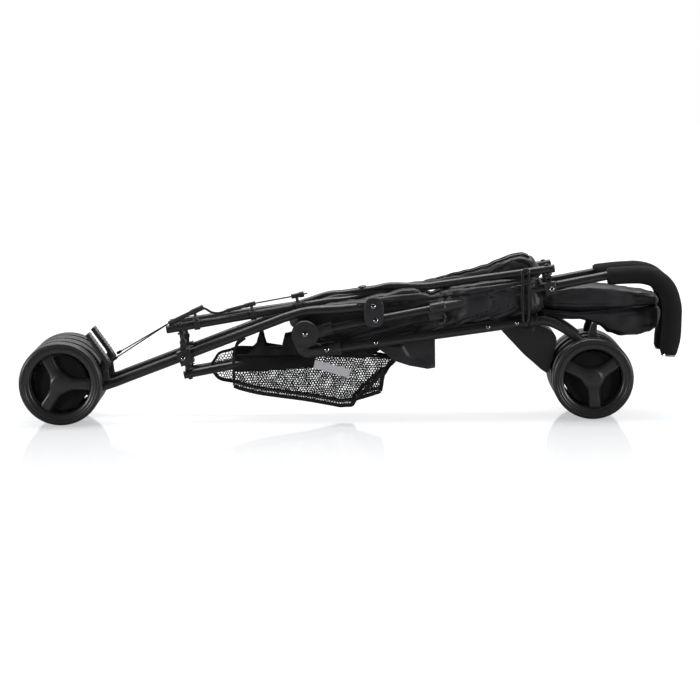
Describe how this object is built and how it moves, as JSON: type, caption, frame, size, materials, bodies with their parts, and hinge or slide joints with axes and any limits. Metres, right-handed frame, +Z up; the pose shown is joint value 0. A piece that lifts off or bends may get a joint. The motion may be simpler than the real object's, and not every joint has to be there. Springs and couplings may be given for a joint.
{
  "type": "umbrella stroller",
  "caption": "Folded umbrella stroller lying on its wheels: hook grips, crossed tube frame, double wheels, bundled seat cloth and net basket",
  "frame": {"origin": "centre of the bounding box's bottom face, on the floor under the folded stroller", "axes": "+X from the rear wheels toward the handles, +Y to the stroller's left side, away from the pictured side, +Z up"},
  "size_m": [1.1319, 0.1656, 0.2805],
  "materials": {
    "tyre": "matte black tyre",
    "rim": "satin black moulded rim",
    "tube": "satin black powder coat",
    "plastic": "matte dark grey moulding",
    "foam": "matte black foam",
    "steel": "bright steel wire",
    "cloth": "black woven polyester",
    "mesh": "black net with black binding",
    "gloss": "smooth black coated cloth"
  },
  "bodies": {
    "rear_axle_right": {"rear_axle_right": "plastic"},
    "rear_wheel_1": {"rear_tyre_1": "tyre", "rear_rim_1": "rim"},
    "front_wheel_1": {"front_tyre_1": "tyre", "front_rim_1": "rim"},
    "rear_wheel_2": {"rear_tyre_2": "tyre", "rear_rim_2": "rim"},
    "front_wheel_2": {"front_tyre_2": "tyre", "front_rim_2": "rim"},
    "rear_wheel_3": {"rear_tyre_3": "tyre", "rear_rim_3": "rim"},
    "front_wheel_3": {"front_tyre_3": "tyre", "front_rim_3": "rim"},
    "rear_wheel_4": {"rear_tyre_4": "tyre", "rear_rim_4": "rim"},
    "front_wheel_4": {"front_tyre_4": "tyre", "front_rim_4": "rim"},
    "rear_leg_right": {"rear_leg_right": "tube", "leg_clamp_right": "plastic", "brake_wires": "steel"},
    "brake_pedal_right": {"brake_pedal_right": "plastic"},
    "handle_right": {"handle_tube_right": "tube", "handle_grip_right": "foam", "pivot_plate_right": "plastic", "hub_right": "plastic", "seat_cloth": "cloth", "hood_cloth": "cloth"},
    "front_leg_right": {"front_leg_right": "tube", "front_knuckle_right": "plastic", "leg_rest": "gloss"},
    "caster_right": {"caster_fork_right": "plastic", "front_axle_right": "plastic"},
    "upper_front_swivel_right": {"upper_front_swivel_right": "plastic"},
    "upper_rear_swivel_right": {"upper_rear_swivel_right": "plastic"},
    "lower_front_swivel_right": {"lower_front_swivel_right": "plastic"},
    "lower_rear_swivel_right": {"lower_rear_swivel_right": "plastic", "basket": "mesh"},
    "rear_leg_left": {"rear_leg_left": "tube", "leg_clamp_left": "plastic", "rear_axle_left": "plastic"},
    "brake_pedal_left": {"brake_pedal_left": "plastic"},
    "handle_left": {"handle_tube_left": "tube", "handle_grip_left": "foam", "pivot_plate_left": "plastic", "hub_left": "plastic"},
    "front_leg_left": {"front_leg_left": "tube", "front_knuckle_left": "plastic"},
    "caster_left": {"caster_fork_left": "plastic", "front_axle_left": "plastic"},
    "upper_front_swivel_left": {"upper_front_swivel_left": "plastic"},
    "upper_rear_swivel_left": {"upper_rear_swivel_left": "plastic"},
    "lower_front_swivel_left": {"lower_front_swivel_left": "plastic"},
    "lower_rear_swivel_left": {"lower_rear_swivel_left": "plastic"},
    "upper_cross_bowed": {"upper_cross_bowed": "tube"},
    "upper_cross_straight": {"upper_cross_straight": "tube", "cable_guides": "plastic"},
    "lower_cross_bowed": {"lower_cross_bowed": "tube"},
    "lower_cross_straight": {"lower_cross_straight": "tube"},
    "lock_loop": {"lock_loop": "steel"}
  },
  "joints": [
    {"name": "frame_fold", "type": "hinge", "parent": "rear_leg_right", "child": "handle_right", "pos_m": [0.041, -0.046, 0.196], "axis": [0, -1, 0], "range_deg": [0, 68.23]},
    {"name": "rear_leg_right_rise", "type": "hinge", "parent": "rear_axle_right", "child": "rear_leg_right", "pos_m": [-0.495, -0.046, 0.0715], "axis": [0, -1, 0], "range_deg": [0, 50.4]},
    {"name": "front_leg_right_pivot", "type": "hinge", "parent": "handle_right", "child": "front_leg_right", "pos_m": [-0.0764, -0.046, 0.15], "axis": [0, -1, 0], "range_deg": [-165.47, 0]},
    {"name": "rear_leg_left_spread", "type": "slide", "parent": "rear_leg_right", "child": "rear_leg_left", "axis": [0, 1, 0], "range_m": [0, 0.26802], "deforming": ["brake_wires"]},
    {"name": "handle_left_spread", "type": "slide", "parent": "handle_right", "child": "handle_left", "axis": [0, 1, 0], "range_m": [0, 0.26802], "deforming": ["seat_cloth", "hood_cloth"]},
    {"name": "front_leg_left_spread", "type": "slide", "parent": "front_leg_right", "child": "front_leg_left", "axis": [0, 1, 0], "range_m": [0, 0.26802], "deforming": ["leg_rest"]},
    {"name": "upper_front_swivel_right_turn", "type": "hinge", "parent": "handle_right", "child": "upper_front_swivel_right", "pos_m": [0.341, -0.046, 0.2405], "axis": [0, -1, 0], "range_deg": [-36.08, 0]},
    {"name": "upper_front_swivel_left_turn", "type": "hinge", "parent": "handle_left", "child": "upper_front_swivel_left", "pos_m": [0.341, 0.046, 0.2405], "axis": [0, -1, 0], "range_deg": [-36.08, 0]},
    {"name": "upper_rear_swivel_right_turn", "type": "hinge", "parent": "rear_leg_right", "child": "upper_rear_swivel_right", "pos_m": [-0.286, -0.046, 0.1375], "axis": [0, -1, 0], "range_deg": [0, 32.19]},
    {"name": "upper_rear_swivel_left_turn", "type": "hinge", "parent": "rear_leg_left", "child": "upper_rear_swivel_left", "pos_m": [-0.286, 0.046, 0.1375], "axis": [0, -1, 0], "range_deg": [0, 32.19]},
    {"name": "upper_cross_bowed_turn", "type": "hinge", "parent": "upper_front_swivel_right", "child": "upper_cross_bowed", "pos_m": [0.33882, -0.046, 0.25534], "axis": [-0.145, 0, 0.9894], "range_deg": [-25.89, 0]},
    {"name": "upper_cross_centre", "type": "hinge", "parent": "upper_cross_bowed", "child": "upper_cross_straight", "pos_m": [0.02453, 0, 0.20928], "axis": [-0.145, 0, 0.9894], "range_deg": [0, 51.76]},
    {"name": "lower_rear_swivel_right_turn", "type": "hinge", "parent": "rear_leg_right", "child": "lower_rear_swivel_right", "pos_m": [-0.279, -0.029, 0.095], "axis": [0, -1, 0], "range_deg": [-61.47, 0]},
    {"name": "lower_rear_swivel_left_spread", "type": "slide", "parent": "lower_rear_swivel_right", "child": "lower_rear_swivel_left", "axis": [0, 1, 0], "range_m": [0, 0.26802], "deforming": ["basket"]},
    {"name": "lower_front_swivel_right_turn", "type": "hinge", "parent": "front_leg_right", "child": "lower_front_swivel_right", "pos_m": [0.311, -0.029, 0.164], "axis": [0, -1, 0], "range_deg": [0, 35.78]},
    {"name": "lower_front_swivel_left_turn", "type": "hinge", "parent": "front_leg_left", "child": "lower_front_swivel_left", "pos_m": [0.311, 0.029, 0.164], "axis": [0, -1, 0], "range_deg": [0, 35.78]},
    {"name": "lower_cross_bowed_turn", "type": "hinge", "parent": "lower_rear_swivel_right", "child": "lower_cross_bowed", "pos_m": [-0.27651, -0.029, 0.08021], "axis": [-0.1662, 0, 0.9861], "range_deg": [0, 27.59]},
    {"name": "lower_cross_centre", "type": "hinge", "parent": "lower_cross_bowed", "child": "lower_cross_straight", "pos_m": [0.016, 0, 0.1295], "axis": [-0.1662, 0, 0.9861], "range_deg": [-55.16, 0]},
    {"name": "brake_pedal_right_press", "type": "hinge", "parent": "rear_leg_right", "child": "brake_pedal_right", "pos_m": [-0.4235, -0.046, 0.092], "axis": [0, -1, 0], "range_deg": [0, 10]},
    {"name": "caster_right_swivel", "type": "hinge", "parent": "front_leg_right", "child": "caster_right", "pos_m": [0.402, -0.046, 0.127], "axis": [-0.7373, 0, 0.6756], "range_deg": [-8, 8]},
    {"name": "brake_pedal_left_press", "type": "hinge", "parent": "rear_leg_left", "child": "brake_pedal_left", "pos_m": [-0.4235, 0.046, 0.092], "axis": [0, -1, 0], "range_deg": [0, 10]},
    {"name": "caster_left_swivel", "type": "hinge", "parent": "front_leg_left", "child": "caster_left", "pos_m": [0.402, 0.046, 0.127], "axis": [-0.7373, 0, 0.6756], "range_deg": [-8, 8]},
    {"name": "lock_loop_turn", "type": "hinge", "parent": "front_leg_right", "child": "lock_loop", "pos_m": [0.30079, -0.046, 0.16471], "axis": [0.9919, 0, 0.127], "range_deg": [0, 60]},
    {"name": "rear_wheel_1_spin", "type": "hinge", "parent": "rear_axle_right", "child": "rear_wheel_1", "pos_m": [-0.495, -0.069, 0.0715], "axis": [0, 1, 0], "continuous": true},
    {"name": "rear_wheel_2_spin", "type": "hinge", "parent": "rear_axle_right", "child": "rear_wheel_2", "pos_m": [-0.495, -0.023, 0.0715], "axis": [0, 1, 0], "continuous": true},
    {"name": "rear_wheel_3_spin", "type": "hinge", "parent": "rear_leg_left", "child": "rear_wheel_3", "pos_m": [-0.495, 0.023, 0.0715], "axis": [0, 1, 0], "continuous": true},
    {"name": "rear_wheel_4_spin", "type": "hinge", "parent": "rear_leg_left", "child": "rear_wheel_4", "pos_m": [-0.495, 0.069, 0.0715], "axis": [0, 1, 0], "continuous": true},
    {"name": "front_wheel_1_spin", "type": "hinge", "parent": "caster_right", "child": "front_wheel_1", "pos_m": [0.4145, -0.069, 0.0697], "axis": [0, 1, 0], "continuous": true},
    {"name": "front_wheel_2_spin", "type": "hinge", "parent": "caster_right", "child": "front_wheel_2", "pos_m": [0.4145, -0.023, 0.0697], "axis": [0, 1, 0], "continuous": true},
    {"name": "front_wheel_3_spin", "type": "hinge", "parent": "caster_left", "child": "front_wheel_3", "pos_m": [0.4145, 0.023, 0.0697], "axis": [0, 1, 0], "continuous": true},
    {"name": "front_wheel_4_spin", "type": "hinge", "parent": "caster_left", "child": "front_wheel_4", "pos_m": [0.4145, 0.069, 0.0697], "axis": [0, 1, 0], "continuous": true}
  ],
  "couplings": [
    {"joint": "rear_leg_right_rise", "follows": "frame_fold", "ratio": 0.73834},
    {"joint": "front_leg_right_pivot", "follows": "frame_fold", "ratio": -2.4248},
    {"joint": "rear_leg_left_spread", "follows": "frame_fold", "m_per_rad": 0.22505},
    {"joint": "handle_left_spread", "follows": "frame_fold", "m_per_rad": 0.22505},
    {"joint": "front_leg_left_spread", "follows": "frame_fold", "m_per_rad": 0.22505},
    {"joint": "upper_front_swivel_right_turn", "follows": "frame_fold", "ratio": -0.52845},
    {"joint": "upper_front_swivel_left_turn", "follows": "frame_fold", "ratio": -0.52845},
    {"joint": "upper_rear_swivel_right_turn", "follows": "frame_fold", "ratio": 0.47153},
    {"joint": "upper_rear_swivel_left_turn", "follows": "frame_fold", "ratio": 0.47153},
    {"joint": "upper_cross_bowed_turn", "follows": "frame_fold", "ratio": -0.37918},
    {"joint": "upper_cross_centre", "follows": "frame_fold", "ratio": 0.75836},
    {"joint": "lower_rear_swivel_right_turn", "follows": "frame_fold", "ratio": -0.9007},
    {"joint": "lower_rear_swivel_left_spread", "follows": "frame_fold", "m_per_rad": 0.22505},
    {"joint": "lower_front_swivel_right_turn", "follows": "frame_fold", "ratio": 0.52414},
    {"joint": "lower_front_swivel_left_turn", "follows": "frame_fold", "ratio": 0.52414},
    {"joint": "lower_cross_bowed_turn", "follows": "frame_fold", "ratio": 0.40408},
    {"joint": "lower_cross_centre", "follows": "frame_fold", "ratio": -0.80817}
  ]
}
